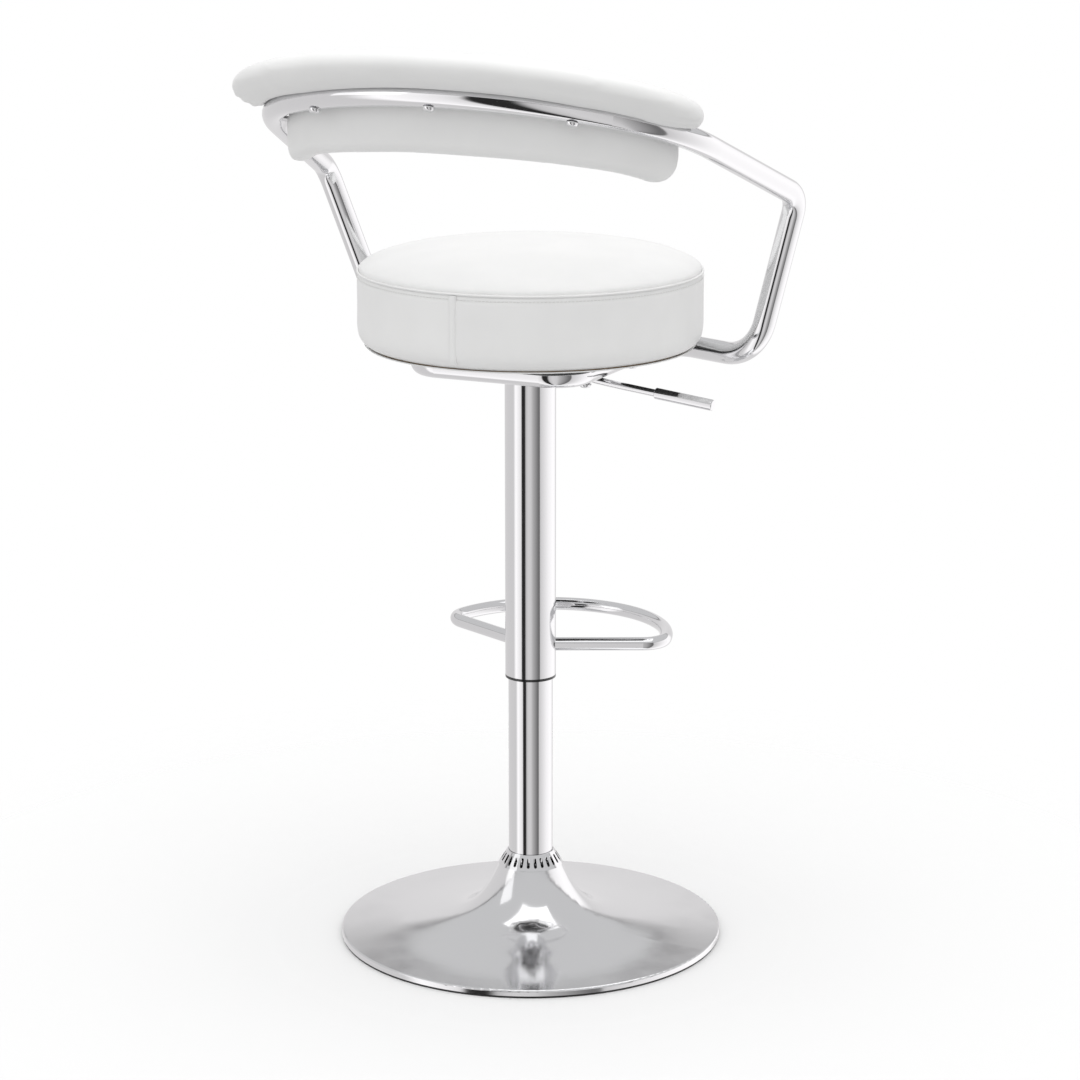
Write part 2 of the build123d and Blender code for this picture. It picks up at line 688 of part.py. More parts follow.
def main():
    os.makedirs("parts", exist_ok=True)
    plate_low = BOARD_BOTTOM - PLATE_THICK
    board_top = BOARD_BOTTOM + BOARD_THICK
    rod_top = CYLINDER_BOTTOM + 18
    ballast_top = LINER_THICK + BALLAST_THICK
    washer_low = FOOT_BOTTOM + FOOT_THICK
    tube_inner = TUBE_RADIUS - TUBE_WALL
    cylinder_inner = CYLINDER_RADIUS - CYLINDER_WALL
    sleeve_inner = SLEEVE_RADIUS - SLEEVE_WALL

    # base
    save(ring(BASE_RADIUS - 1, 0, 0, LINER_THICK), "base_liner")
    save(ring(BALLAST_RADIUS, 0, LINER_THICK, ballast_top), "base_ballast")
    save(make_base_shell(), "base_shell")
    save(make_base_collar(), "base_collar")
    save(ring(TUBE_RADIUS + 6, TUBE_RADIUS, ballast_top, 60), "base_socket")
    save(ring(TUBE_RADIUS, tube_inner, ballast_top, TUBE_TOP), "column_tube")
    save(ring(tube_inner, ROD_RADIUS + CLEAR, FOOT_BOTTOM, washer_low), "column_foot")
    save(ring(12, ROD_RADIUS + CLEAR, washer_low, washer_low + 2), "thrust_washer")
    save(ring(tube_inner, 13, washer_low, washer_low + 9), "bump_stop")
    save(make_guide_bush(), "guide_bush")

    # gas rod
    save(make_piston_rod(), "piston_rod")
    save(ring(cylinder_inner - CLEAR, 0, rod_top, rod_top + 12), "piston")
    save(ring(9, ROD_RADIUS, FOOT_BOTTOM - 3, FOOT_BOTTOM - 1), "rod_clip")

    # column parts that rise and turn with the seat
    save(make_gas_cylinder(), "gas_cylinder")
    gland_low = CYLINDER_BOTTOM + 1
    save(ring(cylinder_inner, ROD_RADIUS + CLEAR, gland_low, gland_low + 14), "cylinder_gland")
    save(ring(SLEEVE_RADIUS, sleeve_inner, SLEEVE_BOTTOM, SLEEVE_TOP), "column_sleeve")
    save(make_sleeve_ring(), "sleeve_ring")
    save(ring(sleeve_inner, SOCKET_RADIUS, SOCKET_BOTTOM, SLEEVE_TOP), "sleeve_spacer")
    save(make_footrest_hoop(), "footrest_hoop")
    save(make_taper_socket(), "taper_socket")

    # seat
    save(make_seat_plate(), "seat_plate")
    save(make_bolts(PLATE_BOLTS, plate_low, board_top - 2), "plate_bolts")
    save(make_inserts(PLATE_BOLTS, BOARD_BOTTOM, board_top - 1), "plate_inserts")
    save(make_seat_board(), "seat_board")
    seat_foam = make_seat_foam()
    save(seat_foam, "seat_foam")
    save(make_seat_cover(seat_foam), "seat_cover")
    save(make_dust_cover(), "dust_cover")

    # frame
    save(make_seat_cradle(), "seat_cradle")
    save(make_arm_tube(-1), "arm_tube_left")
    save(make_arm_tube(1), "arm_tube_right")
    save(make_back_rail(), "back_rail")
    cradle_low = CRADLE_HEIGHT - FRAME_RADIUS
    save(make_bolts(FRAME_BOLTS, cradle_low, board_top - 2), "frame_bolts")
    save(make_inserts(FRAME_BOLTS, BOARD_BOTTOM, board_top - 1), "frame_inserts")

    # backrest
    board = make_bolster_board()
    studs = make_pad_studs()
    pad_board = without(make_pad_board(), (studs,))
    bolts = make_bolts(back_bolts(), -FRAME_RADIUS, BOARD_HIGH - 2, RAIL_PLANE)
    inserts = make_inserts(back_bolts(), BOARD_LOW, BOARD_HIGH, RAIL_PLANE)
    save(board, "bolster_board")
    save(pad_board, "pad_board")
    save(studs, "pad_studs")
    save(bolts, "back_bolts")
    save(inserts, "back_inserts")
    buried = (board, pad_board, bolts, inserts)
    bolster_foam = without(bolster_form(SKIN), buried)
    save(bolster_foam, "bolster_foam")
    save(without(bolster_form(0), (bolster_foam, *buried)), "bolster_cover")
    pad_foam = without(pad_form(SKIN), (pad_board, studs))
    save(pad_foam, "pad_foam")
    save(without(pad_form(0), (pad_foam, pad_board, studs)), "pad_cover")

    # lever
    save(make_lever_bracket(), "lever_bracket")
    save(make_pivot_pin(), "pivot_pin")
    lever_rod = make_lever_rod()
    save(lever_rod, "lever_rod")
    save(make_lever_grip(lever_rod), "lever_grip")
    save(ring(3, 0, CYLINDER_TOP - 20, PIVOT_Z - 1), "release_pin")


main()
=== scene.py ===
"""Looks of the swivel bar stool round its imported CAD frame."""

import json
import math

import bpy
import numpy as np
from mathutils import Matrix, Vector, noise


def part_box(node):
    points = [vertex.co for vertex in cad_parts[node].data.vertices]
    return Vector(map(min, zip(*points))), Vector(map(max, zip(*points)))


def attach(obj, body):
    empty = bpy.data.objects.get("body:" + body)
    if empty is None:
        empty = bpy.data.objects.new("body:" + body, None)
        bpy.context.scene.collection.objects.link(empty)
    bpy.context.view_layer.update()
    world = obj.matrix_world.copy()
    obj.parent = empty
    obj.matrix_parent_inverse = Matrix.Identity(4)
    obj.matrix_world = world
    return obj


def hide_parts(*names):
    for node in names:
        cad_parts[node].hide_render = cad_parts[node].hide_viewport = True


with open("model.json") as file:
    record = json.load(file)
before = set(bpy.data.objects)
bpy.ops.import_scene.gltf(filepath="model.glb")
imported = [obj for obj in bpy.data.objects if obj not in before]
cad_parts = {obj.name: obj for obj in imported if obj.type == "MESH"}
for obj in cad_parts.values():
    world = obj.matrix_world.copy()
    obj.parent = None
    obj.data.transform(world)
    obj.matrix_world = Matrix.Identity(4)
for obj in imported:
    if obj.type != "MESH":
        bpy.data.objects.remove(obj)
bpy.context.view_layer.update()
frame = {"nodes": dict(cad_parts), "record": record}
MM = 0.001


# ---- materials ----
def shader_of(name, colour, rough, metal=0.0, **sockets):
    """A new material, and its principled shader with constants set on its own sockets."""
    mat = bpy.data.materials.new(name)
    mat.use_nodes = True
    shader = mat.node_tree.nodes["Principled BSDF"]
    shader.inputs["Base Color"].default_value = (*colour, 1)
    shader.inputs["Roughness"].default_value = rough
    shader.inputs["Metallic"].default_value = metal
    for socket, value in sockets.items():
        shader.inputs[socket.replace("_", " ")].default_value = value
    mat.diffuse_color = (*colour, 1)
    return mat, shader


def node(mat, kind, **settings):
    made = mat.node_tree.nodes.new("ShaderNode" + kind)
    for key, value in settings.items():
        if hasattr(made, key):
            setattr(made, key, value)
        else:
            made.inputs[key.replace("_", " ")].default_value = value
    return made


def link(mat, out, into):
    mat.node_tree.links.new(out, into)


def texture(mat, kind, scale, stretch=(1, 1, 1), **settings):
    """A 3-D texture in the row frame, scale in turns per metre."""
    place = node(mat, "TexCoord")
    mapping = node(mat, "Mapping", Scale=stretch)
    link(mat, place.outputs["Object"], mapping.inputs["Vector"])
    made = node(mat, kind, Scale=scale, **settings)
    link(mat, mapping.outputs["Vector"], made.inputs["Vector"])
    return made


def bump(mat, shader, source, strength, depth_mm, below=None):
    """Relief from a texture output, on top of an earlier relief when one is given."""
    made = node(mat, "Bump", Strength=strength, Distance=depth_mm * MM)
    link(mat, source, made.inputs["Height"])
    if below is not None:
        link(mat, below.outputs["Normal"], made.inputs["Normal"])
    link(mat, made.outputs["Normal"], shader.inputs["Normal"])
    return made


def vary(mat, source, socket, low, high, start=0.3, end=0.7):
    """Drives a socket between two values with a texture."""
    made = node(mat, "MapRange", From_Min=start, From_Max=end, To_Min=low, To_Max=high)
    link(mat, source, made.inputs["Value"])
    link(mat, made.outputs["Result"], socket)


def tint(mat, shader, source, dark, light, start=0.3, end=0.7):
    """Drives the base colour between two colours with a texture."""
    ramp = node(mat, "ValToRGB")
    ramp.color_ramp.elements[0].position = start
    ramp.color_ramp.elements[1].position = end
    ramp.color_ramp.elements[0].color = (*dark, 1)
    ramp.color_ramp.elements[1].color = (*light, 1)
    link(mat, source, ramp.inputs["Fac"])
    link(mat, ramp.outputs["Color"], shader.inputs["Base Color"])


def make_chrome():
    mat, shader = shader_of("chrome", (0.79, 0.79, 0.8), 0.06, 1.0)
    haze = texture(mat, "TexNoise", 35, Detail=4)
    vary(mat, haze.outputs["Fac"], shader.inputs["Roughness"], 0.045, 0.085)
    ripple = texture(mat, "TexNoise", 9, Detail=1)
    bump(mat, shader, ripple.outputs["Fac"], 0.25, 0.6)
    return mat


def make_spun_chrome():
    """Chrome on spun sheet: very fine rings round the column's axis."""
    mat, shader = shader_of("spun_chrome", (0.8, 0.8, 0.81), 0.1, 1.0)
    haze = texture(mat, "TexNoise", 26, Detail=3)
    vary(mat, haze.outputs["Fac"], shader.inputs["Roughness"], 0.085, 0.14)
    rings = texture(mat, "TexWave", 160, stretch=(1, 1, 0), wave_type="RINGS",
                    rings_direction="Z", Distortion=0.4, Detail=2)
    bump(mat, shader, rings.outputs["Fac"], 0.08, 0.05)
    return mat


def make_vinyl():
    """White upholstery vinyl with a fine pebble grain."""
    mat, shader = shader_of("white_vinyl", (0.86, 0.86, 0.855), 0.46, Specular_IOR_Level=0.42,
                            Coat_Weight=0.06, Coat_Roughness=0.35, Sheen_Weight=0.04)
    cells = texture(mat, "TexVoronoi", 850)
    fine = texture(mat, "TexNoise", 1500, Detail=3)
    soft = texture(mat, "TexNoise", 22, Detail=2)
    low = bump(mat, shader, cells.outputs["Distance"], 0.22, 0.12)
    bump(mat, shader, fine.outputs["Fac"], 0.18, 0.08, low)
    vary(mat, soft.outputs["Fac"], shader.inputs["Roughness"], 0.42, 0.52)
    tint(mat, shader, soft.outputs["Fac"], (0.85, 0.85, 0.846), (0.872, 0.872, 0.868))
    return mat


def make_thread():
    mat, shader = shader_of("thread", (0.8, 0.8, 0.79), 0.6, Sheen_Weight=0.2)
    twist = texture(mat, "TexWave", 900, stretch=(1, 1, 2), Distortion=0.5)
    bump(mat, shader, twist.outputs["Fac"], 0.5, 0.1)
    tint(mat, shader, twist.outputs["Fac"], (0.72, 0.72, 0.7), (0.84, 0.84, 0.83))
    return mat


def make_metal(name, colour, rough, scale=400, depth=0.03):
    """Plated or machined steel with faint tool marks."""
    mat, shader = shader_of(name, colour, rough, 1.0)
    marks = texture(mat, "TexNoise", scale, stretch=(1, 1, 4), Detail=3)
    vary(mat, marks.outputs["Fac"], shader.inputs["Roughness"], rough * 0.8, rough * 1.3)
    bump(mat, shader, marks.outputs["Fac"], 0.2, depth)
    wear = texture(mat, "TexNoise", 60, Detail=3)
    tint(mat, shader, wear.outputs["Fac"], [c * 0.85 for c in colour], colour)
    return mat


def make_coated(name, colour, rough, scale=900, depth=0.1, **sockets):
    """Paint, rubber or moulded plastic with a fine texture."""
    mat, shader = shader_of(name, colour, rough, **sockets)
    grain = texture(mat, "TexNoise", scale, Detail=3)
    cloud = texture(mat, "TexNoise", 45, Detail=2)
    bump(mat, shader, grain.outputs["Fac"], 0.3, depth)
    vary(mat, cloud.outputs["Fac"], shader.inputs["Roughness"], rough * 0.85, rough * 1.15)
    tint(mat, shader, cloud.outputs["Fac"], [c * 0.85 for c in colour],
         [min(1, c * 1.12) for c in colour])
    return mat


def make_plywood():
    mat, shader = shader_of("plywood", (0.55, 0.4, 0.25), 0.7)
    plies = texture(mat, "TexWave", 330, stretch=(0, 0, 1), bands_direction="Z", Distortion=0.6)
    grain = texture(mat, "TexNoise", 60, stretch=(1, 9, 9), Detail=5)
    tint(mat, shader, plies.outputs["Fac"], (0.36, 0.23, 0.12), (0.62, 0.46, 0.29))
    bump(mat, shader, grain.outputs["Fac"], 0.3, 0.2)
    return mat


def make_foam():
    mat, shader = shader_of("foam", (0.86, 0.8, 0.6), 0.95)
    pores = texture(mat, "TexVoronoi", 700)
    tint(mat, shader, pores.outputs["Distance"], (0.6, 0.53, 0.36), (0.88, 0.83, 0.64), 0, 0.5)
    bump(mat, shader, pores.outputs["Distance"], 0.5, 0.4)
    return mat


def make_lining():
    """Black spun lining under the seat, a fine crossed weave."""
    mat, shader = shader_of("lining", (0.02, 0.02, 0.02), 0.9, Sheen_Weight=0.3)
    warp = texture(mat, "TexWave", 320, bands_direction="X", Distortion=0.8)
    weft = texture(mat, "TexWave", 320, bands_direction="Y", Distortion=0.8)
    low = bump(mat, shader, warp.outputs["Fac"], 0.4, 0.15)
    bump(mat, shader, weft.outputs["Fac"], 0.4, 0.15, low)
    tint(mat, shader, warp.outputs["Fac"], (0.012, 0.012, 0.012), (0.035, 0.035, 0.035))
    return mat


SPUN = make_spun_chrome()
VINYL = make_vinyl()
THREAD = make_thread()
FINISHES = {
    "chrome": make_chrome(),
    "rubber": make_coated("rubber", (0.018, 0.018, 0.018), 0.72),
    "iron": make_coated("cast_iron", (0.09, 0.09, 0.095), 0.62, 260, 0.5, Metallic=0.6),
    "black_steel": make_coated("powder_coat", (0.02, 0.02, 0.021), 0.4, 700, 0.15),
    "steel": make_metal("zinc_steel", (0.62, 0.63, 0.65), 0.32),
    "nylon": make_coated("nylon", (0.75, 0.74, 0.7), 0.45),
    "black_plastic": make_coated("black_plastic", (0.012, 0.012, 0.013), 0.22, 300, 0.02,
                                 Coat_Weight=0.3),
    "plywood": make_plywood(),
    "foam": make_foam(),
    "white_vinyl": VINYL,
    "lining": make_lining(),
}


def dress_frame():
    """Gives every CAD node the finish of its slot."""
    slots = {m["slot"]: m.get("nodes") for m in frame["record"]["materials"]}
    by_node = {n: slot for slot, nodes in slots.items() for n in nodes or ()}
    for name, obj in frame["nodes"].items():
        old = obj.data.materials[0].name if obj.data.materials else ""
        slot = by_node.get(name) or old.split(".")[0]
        mat = SPUN if name == "base_shell" else FINISHES[slot]
        obj.data.materials.clear()
        obj.data.materials.append(mat)


# ---- mesh helpers ----
def add_mesh(name, points, faces, mat):
    """A smooth-shaded mesh object from points in the row frame, in metres."""
    mesh = bpy.data.meshes.new(name)
    mesh.from_pydata([tuple(p) for p in points], [], faces)
    mesh.update()
    obj = bpy.data.objects.new(name, mesh)
    bpy.context.scene.collection.objects.link(obj)
    mesh.materials.append(mat)
    mesh.polygons.foreach_set("use_smooth", [True] * len(mesh.polygons))
    return obj


def grid_faces(rows, columns, wrap):
    """Quads over a rows by columns grid, closed round the columns when wrap is set."""
    faces = []
    for i in range(rows - 1):
        for j in range(columns if wrap else columns - 1):
            k = (j + 1) % columns
            faces.append((i * columns + j, i * columns + k, (i + 1) * columns + k,
                          (i + 1) * columns + j))
    return faces


def points_of(obj):
    co = np.empty(len(obj.data.vertices) * 3)
    obj.data.vertices.foreach_get("co", co)
    return co.reshape(-1, 3)


def normals_of(obj):
    co = np.empty(len(obj.data.vertices) * 3)
    obj.data.vertices.foreach_get("normal", co)
    return co.reshape(-1, 3)


def set_points(obj, co):
    obj.data.vertices.foreach_set("co", np.asarray(co, float).ravel())
    obj.data.update()


def apply_modifiers(obj):
    """Bakes the modifiers into the mesh."""
    graph = bpy.context.evaluated_depsgraph_get()
    graph.update()
    mesh = bpy.data.meshes.new_from_object(obj.evaluated_get(graph))
    obj.modifiers.clear()
    old = obj.data
    obj.data = mesh
    bpy.data.meshes.remove(old)


def swell(obj, voxel_mm, cap_mm, pressure=4.0, frames=20):
    """Inflates a closed form as cloth, capping each point's move, and applies it."""
    remesh = obj.modifiers.new("remesh", "REMESH")
    remesh.mode = "VOXEL"
    remesh.voxel_size = voxel_mm * MM
    apply_modifiers(obj)
    before = points_of(obj)
    cloth = obj.modifiers.new("cloth", "CLOTH")
    cloth.settings.quality = 4
    cloth.settings.mass = 0.3
    cloth.settings.tension_stiffness = 25
    cloth.settings.compression_stiffness = 25
    cloth.settings.shear_stiffness = 10
    cloth.settings.bending_stiffness = 2.5
    cloth.settings.use_pressure = True
    cloth.settings.uniform_pressure_force = pressure
    cloth.settings.effector_weights.gravity = 0
    cloth.collision_settings.use_collision = False
    cloth.point_cache.frame_end = frames
    for step in range(1, frames + 1):
        bpy.context.scene.frame_set(step)
    apply_modifiers(obj)
    bpy.context.scene.frame_set(1)
    move = points_of(obj) - before
    far = np.linalg.norm(move, axis=1, keepdims=True)
    cap = cap_mm * MM
    set_points(obj, before + move * (cap * np.tanh(far / cap) / np.maximum(far, 1e-9)))
    relax = obj.modifiers.new("relax", "SMOOTH")
    relax.iterations = 3
    relax.factor = 0.5
    finer = obj.modifiers.new("finer", "SUBSURF")
    finer.levels = 1
    apply_modifiers(obj)
    obj.data.polygons.foreach_set("use_smooth", [True] * len(obj.data.polygons))


def capsule_row(name, centres, along, out, length_mm, width_mm, mat):
    """Thread stitches: one small rounded lozenge at each centre."""
    ring, spans = 6, ((-0.5, 0.25), (-0.38, 0.85), (0.0, 1.0), (0.38, 0.85), (0.5, 0.25))
    points, faces = [], []
    for c, t, n in zip(centres, along, out):
        side = np.cross(t, n)
        base = len(points)
        for share, fat in spans:
            for j in range(ring):
                a = 2 * math.pi * j / ring
                lift = math.cos(a) * n * 0.7 + math.sin(a) * side
                points.append(c + t * share * length_mm * MM + lift * fat * width_mm * MM / 2)
        rows = grid_faces(len(spans), ring, True)
        faces += [tuple(base + k for k in f) for f in rows]
        faces.append(tuple(base + j for j in reversed(range(ring))))
        last = base + ring * (len(spans) - 1)
        faces.append(tuple(last + j for j in range(ring)))
    return add_mesh(name, points, faces, mat)


# ---- seat ----
SEAT_LOW, SEAT_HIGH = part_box("seat_cover")
SEAT_R = SEAT_HIGH.x
SEAM_Z = SEAT_LOW.z + 84 * MM
STITCH_DROP = 5.5 * MM
BOARD_LOW, BOARD_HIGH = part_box("seat_board")


def seat_outline():
    """Half section of the stuffed seat, from the middle of its underside round to the crown."""
    low, crown = SEAT_LOW.z + 0.2 * MM, SEAT_HIGH.z
    edge = 17 * MM
    line = [(0, BOARD_HIGH.z + MM), (BOARD_HIGH.x + MM, BOARD_HIGH.z + MM),
            (BOARD_HIGH.x + MM, low + 6 * MM), (SEAT_R - 24 * MM, low + MM),
            (SEAT_R - 20 * MM, low)]
    for k in range(9):
        a = math.pi / 2 * k / 8
        line.append((SEAT_R - edge + edge * math.sin(a), low + edge - edge * math.cos(a)))
    for k in range(1, 7):
        share = k / 6
        line.append((SEAT_R - 0.6 * MM * math.sin(math.pi * share),
                     low + edge + share * (SEAM_Z - low - edge)))
    rise = crown - SEAM_Z
    for k in range(1, 26):
        a = math.pi / 2 * k / 25
        line.append((SEAT_R * math.cos(a) ** 0.62, SEAM_Z + rise * math.sin(a) ** 1.25))
    return line


def make_seat():
    """The round seat cushion, swollen, then drawn in along its seam."""
    line, turns = seat_outline(), 180
    points = []
    for r, z in line[1:-1]:
        for k in range(turns):
            a = 2 * math.pi * k / turns
            points.append((r * math.cos(a), r * math.sin(a), z))
    faces = grid_faces(len(line) - 2, turns, True)
    points += [(0, 0, line[0][1]), (0, 0, line[-1][1])]
    last = (len(line) - 3) * turns
    for k in range(turns):
        nxt = (k + 1) % turns
        faces.append((nxt, k, len(points) - 2))
        faces.append((last + k, last + nxt, len(points) - 1))
    seat = add_mesh("seat_cushion", points, faces, VINYL)
    swell(seat, 4.5, 2.0)
    co, nrm = points_of(seat), normals_of(seat)
    r = np.hypot(co[:, 0], co[:, 1])
    # tension folds in the vinyl on both sides of the seam
    angle = np.arctan2(co[:, 1], co[:, 0])
    for i, (a, z) in enumerate(zip(angle, co[:, 2])):
        near = math.exp(-(((z - SEAM_Z) / (9 * MM)) ** 2))
        if r[i] > 0.9 * SEAT_R and near > 0.02:
            fold = noise.noise(Vector((math.cos(a) * 14, math.sin(a) * 14, z * 60)))
            co[i] += nrm[i] * fold * near * 0.35 * MM
    outer = np.clip((r - 0.93 * SEAT_R) / (0.05 * SEAT_R), 0, 1)
    for at, deep, wide in ((SEAM_Z, 1.5, 2.6), (SEAM_Z - STITCH_DROP, 0.7, 1.8)):
        pull = np.exp(-(((co[:, 2] - at) / (wide * MM)) ** 2)) * deep * MM * outer
        co[:, 0] -= co[:, 0] / np.maximum(r, 1e-6) * pull
        co[:, 1] -= co[:, 1] / np.maximum(r, 1e-6) * pull
    r = np.hypot(co[:, 0], co[:, 1])
    over = np.maximum(r / (SEAT_R + 0.3 * MM), 1)
    co[:, 0] /= over
    co[:, 1] /= over
    set_points(seat, co)
    return seat


def make_ring(name, radius, z, fat_mm, mat):
    """A thin round cord of vinyl running round the seat."""
    turns, sides = 300, 8
    points = []
    for k in range(turns):
        a = 2 * math.pi * k / turns
        for j in range(sides):
            b = 2 * math.pi * j / sides
            r = radius + fat_mm * MM * math.cos(b)
            points.append((r * math.cos(a), r * math.sin(a), z + fat_mm * MM * math.sin(b)))
    faces = grid_faces(turns, sides, True)
    last = (turns - 1) * sides
    faces += [(last + j, last + (j + 1) % sides, (j + 1) % sides, j) for j in range(sides)]
    return add_mesh(name, points, faces, mat)


def make_underwrap():
    """The gathered edge of the cover, turned in under the seat board."""
    turns = 360
    section = ((-1.6, -22), (-0.3, -22), (-0.3, -12), (1.0, -8), (-0.9, -10), (-1.6, -14))
    lower_edge = (0, 5)
    points = []
    for k in range(turns):
        a = 2 * math.pi * k / turns
        pleat = 0.25 * MM * math.sin(90 * a)
        for j, (up, out) in enumerate(section):
            r = SEAT_R + out * MM
            z = BOARD_LOW.z + up * MM + (pleat if j in lower_edge else 0)
            points.append((r * math.cos(a), r * math.sin(a), z))
    faces = grid_faces(turns, len(section), True)
    last, count = (turns - 1) * len(section), len(section)
    faces += [(last + j, last + (j + 1) % count, (j + 1) % count, j) for j in range(count)]
    return add_mesh("seat_underwrap", points, faces, VINYL)


def make_seat_stitches():
    """Lock stitches just under the seam, all the way round."""
    count = 290
    a = np.arange(count) * 2 * math.pi / count
    out = np.stack([np.cos(a), np.sin(a), np.zeros(count)], 1)
    along = np.stack([-np.sin(a), np.cos(a), np.zeros(count)], 1)
    centres = out * (SEAT_R - 0.55 * MM)
    centres[:, 2] = SEAM_Z - STITCH_DROP
    return capsule_row("seat_stitches", centres, along, out, 3.0, 0.9, THREAD)


def make_side_seam():
    """The flat joint where the seat's side band meets itself, at the rear."""
    low, high = SEAT_LOW.z + 9 * MM, SEAM_Z - 1.2 * MM
    rows = 60
    section = ((-4.2, -0.9), (-3.9, 0.15), (-3.4, 0.35), (-3.1, 0.1), (-2.7, 0.42), (0, 0.5),
               (2.7, 0.42), (3.1, 0.1), (3.4, 0.35), (3.9, 0.15), (4.2, -0.9))
    points = []
    for k in range(rows):
        z = low + (high - low) * k / (rows - 1)
        turn = max(0.0, SEAT_LOW.z + 17 * MM - z) / (17 * MM)
        r = SEAT_R - 17 * MM * (1 - math.sqrt(max(0.0, 1 - turn * turn)))
        for x, lift in section:
            radius = r + (lift - 0.1) * MM
            points.append((x * MM, -math.sqrt(radius * radius - (x * MM) ** 2), z))
    return add_mesh("seat_side_seam", points, grid_faces(rows, len(section), False), VINYL)


# ---- the back rail's line ----
RAIL_LOW, RAIL_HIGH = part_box("back_rail")
TUBE_R = 12.5
RAIL_Y = RAIL_LOW.y / MM + TUBE_R
RAIL_Z = RAIL_HIGH.z / MM - TUBE_R
SLOPE = 0.41
TILT = math.hypot(1, SLOPE)
CORNER = (243.5, 80.5 * TILT)  # where the rear arc would meet the straight arm
ELBOW = (287.0, 296.5 * TILT)
CORNER_R = 140.0


def rail_line():
    """Half the rail's centreline in its own plane: length along it, x, depth and heading."""
    big = (CORNER[0] ** 2 + CORNER[1] ** 2) / (2 * CORNER[1])
    run = np.array(ELBOW) - np.array(CORNER)
    run /= np.linalg.norm(run)
    inward = np.array((-run[1], run[0]))
    low, high = 0.0, 200.0
    for _ in range(50):
        mid = (low + high) / 2
        centre = np.array(CORNER) + mid * run + CORNER_R * inward
        if math.hypot(centre[0], centre[1] - big) < big - CORNER_R:
            high = mid
        else:
            low = mid
    first = math.atan2(centre[0], big - centre[1])
    leave = np.array(CORNER) + mid * run
    last = math.atan2(leave[0] - centre[0], centre[1] - leave[1])
    heading = np.concatenate([np.linspace(0, first, 60), np.linspace(first, last, 50)[1:]])
    arc = [(big * math.sin(a), big - big * math.cos(a)) for a in heading[:60]]
    arc += [(centre[0] + CORNER_R * math.sin(a), centre[1] - CORNER_R * math.cos(a))
            for a in heading[60:]]
    end = leave + 150 * run
    plan = np.array(arc + [tuple(end)])
    heading = np.append(heading, last)
    steps = np.hypot(*np.diff(plan, axis=0).T)
    return np.concatenate([[0], np.cumsum(steps)]), plan[:, 0], plan[:, 1], heading


LINE_S, LINE_X, LINE_V, LINE_A = rail_line()


def on_line(s):
    """x, depth in the rail's plane and heading at signed lengths from the rear centre."""
    side = np.sign(s) + (s == 0)
    x, v, a = (np.interp(np.abs(s), LINE_S, col) for col in (LINE_X, LINE_V, LINE_A))
    return x * side, v, a * side


def bend_in_plane(flat):
    """Carries (length, outward, up) in mm onto the tilted rail, in metres."""
    x, v, a = on_line(flat[:, 0])
    x = x + flat[:, 1] * np.sin(a)
    v = v - flat[:, 1] * np.cos(a)
    up = flat[:, 2]
    return np.stack([x, RAIL_Y + v / TILT + up * SLOPE / TILT,
                     RAIL_Z - v * SLOPE / TILT + up / TILT], 1) * MM


def bend_upright(flat):
    """Carries (length, inward, up) in mm onto the rail's plan, kept upright, in metres."""
    x, v, a = on_line(flat[:, 0])
    tx, ty = np.cos(a), np.sin(a) / TILT
    size = np.hypot(tx, ty)
    return np.stack([x - flat[:, 1] * ty / size, RAIL_Y + v / TILT + flat[:, 1] * tx / size,
                     RAIL_Z - v * SLOPE / TILT + flat[:, 2]], 1) * MM


# ---- bolster ----
BOLSTER_HALF = 277.0
BOLSTER_MID, BOLSTER_MID_END = 19.0, 12.0
BOLSTER_THICK = 16.8
BOLSTER_OUT, BOLSTER_OUT_END = 63.6, 50.0
BOLSTER_IN, BOLSTER_IN_END = 34.0, 35.0
SQUARENESS = 2.59
TAPER = 2.8


def ease(share, start, end):
    return start + (end - start) * share


def bolster_section(s, turns, inset):
    """One rounded section of the bolster at a length from the rear centre."""
    share = (abs(s) / BOLSTER_HALF) ** TAPER
    out = ease(share, BOLSTER_OUT, BOLSTER_OUT_END) - inset
    inn = ease(share, BOLSTER_IN, BOLSTER_IN_END) - inset
    mid_up = ease(share, BOLSTER_MID, BOLSTER_MID_END)
    near = (BOLSTER_HALF - abs(s)) / 38
    cap = math.sqrt(max(0.0, 1 - (1 - near) ** 2)) if near < 1 else 1.0
    wide, high = (out + inn) / 2 * cap, (BOLSTER_THICK - inset) * (0.35 + 0.65 * cap)
    points = []
    for k in range(turns):
        a = 2 * math.pi * k / turns
        c, w = math.cos(a), math.sin(a)
        across = (out - inn) / 2 + math.copysign(abs(c) ** (2 / SQUARENESS), c) * wide
        up = mid_up + math.copysign(abs(w) ** (2 / SQUARENESS), w) * high
        points.append((s, across, up))
    return points


def groove(flat, radius):
    """Lifts the bolster's underside clear of the tube it lies on."""
    across, up = flat[:, 1], flat[:, 2]
    arch = np.sqrt(np.maximum(radius * radius - across * across, 0))
    inside = (np.abs(across) < radius) & (up < arch)
    flat[:, 2] = np.where(inside, arch, up)
    return flat


